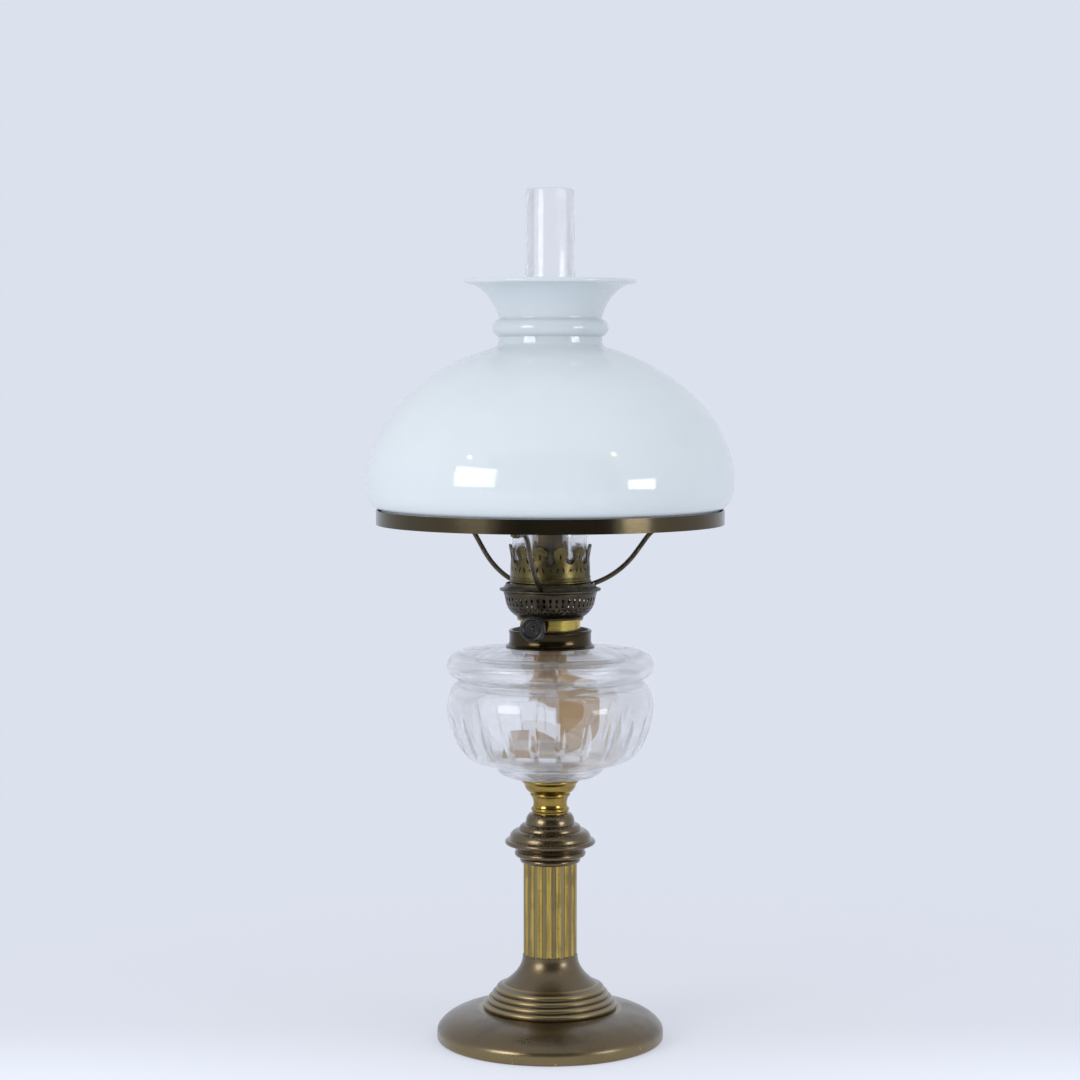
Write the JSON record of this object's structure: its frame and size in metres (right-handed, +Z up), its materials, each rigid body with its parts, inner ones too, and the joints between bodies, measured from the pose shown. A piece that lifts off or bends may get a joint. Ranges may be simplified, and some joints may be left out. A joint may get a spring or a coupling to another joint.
{
  "type": "kerosene lamp",
  "caption": "Kerosene table lamp with a weighted brass foot, fluted column, clear glass font, pierced burner, glass chimney and an opal dome shade on a bent-rod holder",
  "frame": {"origin": "centre of the foot's standing face on the table", "axes": "+Z up along the lamp's axis, -Y towards the picture's camera, +X to the right in the picture"},
  "size_m": [0.2528, 0.2528, 0.5864],
  "materials": {
    "dark_bronze": "spun brass under a dark brown patina, worn yellow on edges",
    "yellow_brass": "old lacquered brass, satin with fine scratches",
    "collar_brass": "tarnished brass",
    "basket_brass": "dark tarnished pierced sheet brass",
    "crown_brass": "tarnished pierced sheet brass",
    "tube_brass": "heat-browned sheet brass",
    "holder_bronze": "tarnished brass rod, satin",
    "ring_bronze": "dark tarnished sheet brass",
    "gunmetal": "blackened stamped brass",
    "steel": "plain steel",
    "cast_iron": "rough casting",
    "plaster": "dry plaster bedding",
    "clear_glass": "clear colourless glass",
    "opal_glass": "dense white opal glass, glossy",
    "cotton": "woven cotton, tan"
  },
  "bodies": {
    "stand": {"foot_shell": "dark_bronze", "foot_weight": "cast_iron", "tie_rod": "steel", "rod_nuts": "steel", "rod_washer": "steel", "column": "yellow_brass", "capital": "dark_bronze", "neck": "yellow_brass", "font_cup": "yellow_brass", "font_cement": "plaster", "font": "clear_glass", "collar_cement": "plaster", "collar": "collar_brass"},
    "burner": {"burner_base": "yellow_brass", "basket": "basket_brass", "gallery_plate": "crown_brass", "crown": "crown_brass", "wick_tube": "tube_brass", "draft_tube": "tube_brass", "shaft_bush": "yellow_brass"},
    "knob": {"wick_shaft": "steel", "wick_cogs": "crown_brass", "knob": "gunmetal"},
    "wick": {"wick": "cotton", "wick_tail_long": "cotton", "wick_tail_short": "cotton"},
    "holder": {"seat_ring": "holder_bronze", "holder_arm_1": "holder_bronze", "holder_arm_2": "holder_bronze", "holder_arm_3": "holder_bronze", "shade_ring": "ring_bronze", "ring_rivets": "ring_bronze"},
    "shade": {"shade": "opal_glass"},
    "chimney": {"chimney": "clear_glass"}
  },
  "joints": [
    {"name": "burner_lift", "type": "slide", "parent": "stand", "child": "burner", "axis": [0, 0, 1], "range_m": [0, 0.13]},
    {"name": "knob_turn", "type": "hinge", "parent": "burner", "child": "knob", "pos_m": [-0.00294, 0.00059, 0.2901], "axis": [0.196, 0.9806, 0], "range_deg": [-45, 110]},
    {"name": "wick_raise", "type": "slide", "parent": "burner", "child": "wick", "axis": [0, 0, 1], "range_m": [-0.0045, 0.0107], "deforming": ["wick_tail_long"]},
    {"name": "holder_lift", "type": "slide", "parent": "burner", "child": "holder", "axis": [0, 0, 1], "range_m": [0, 0.28]},
    {"name": "shade_lift", "type": "slide", "parent": "holder", "child": "shade", "axis": [0, 0, 1], "range_m": [0, 0.24]},
    {"name": "chimney_lift", "type": "slide", "parent": "burner", "child": "chimney", "axis": [0, 0, 1], "range_m": [0, 0.22]}
  ],
  "couplings": [
    {"joint": "wick_raise", "follows": "knob_turn", "m_per_rad": 0.0055}
  ]
}
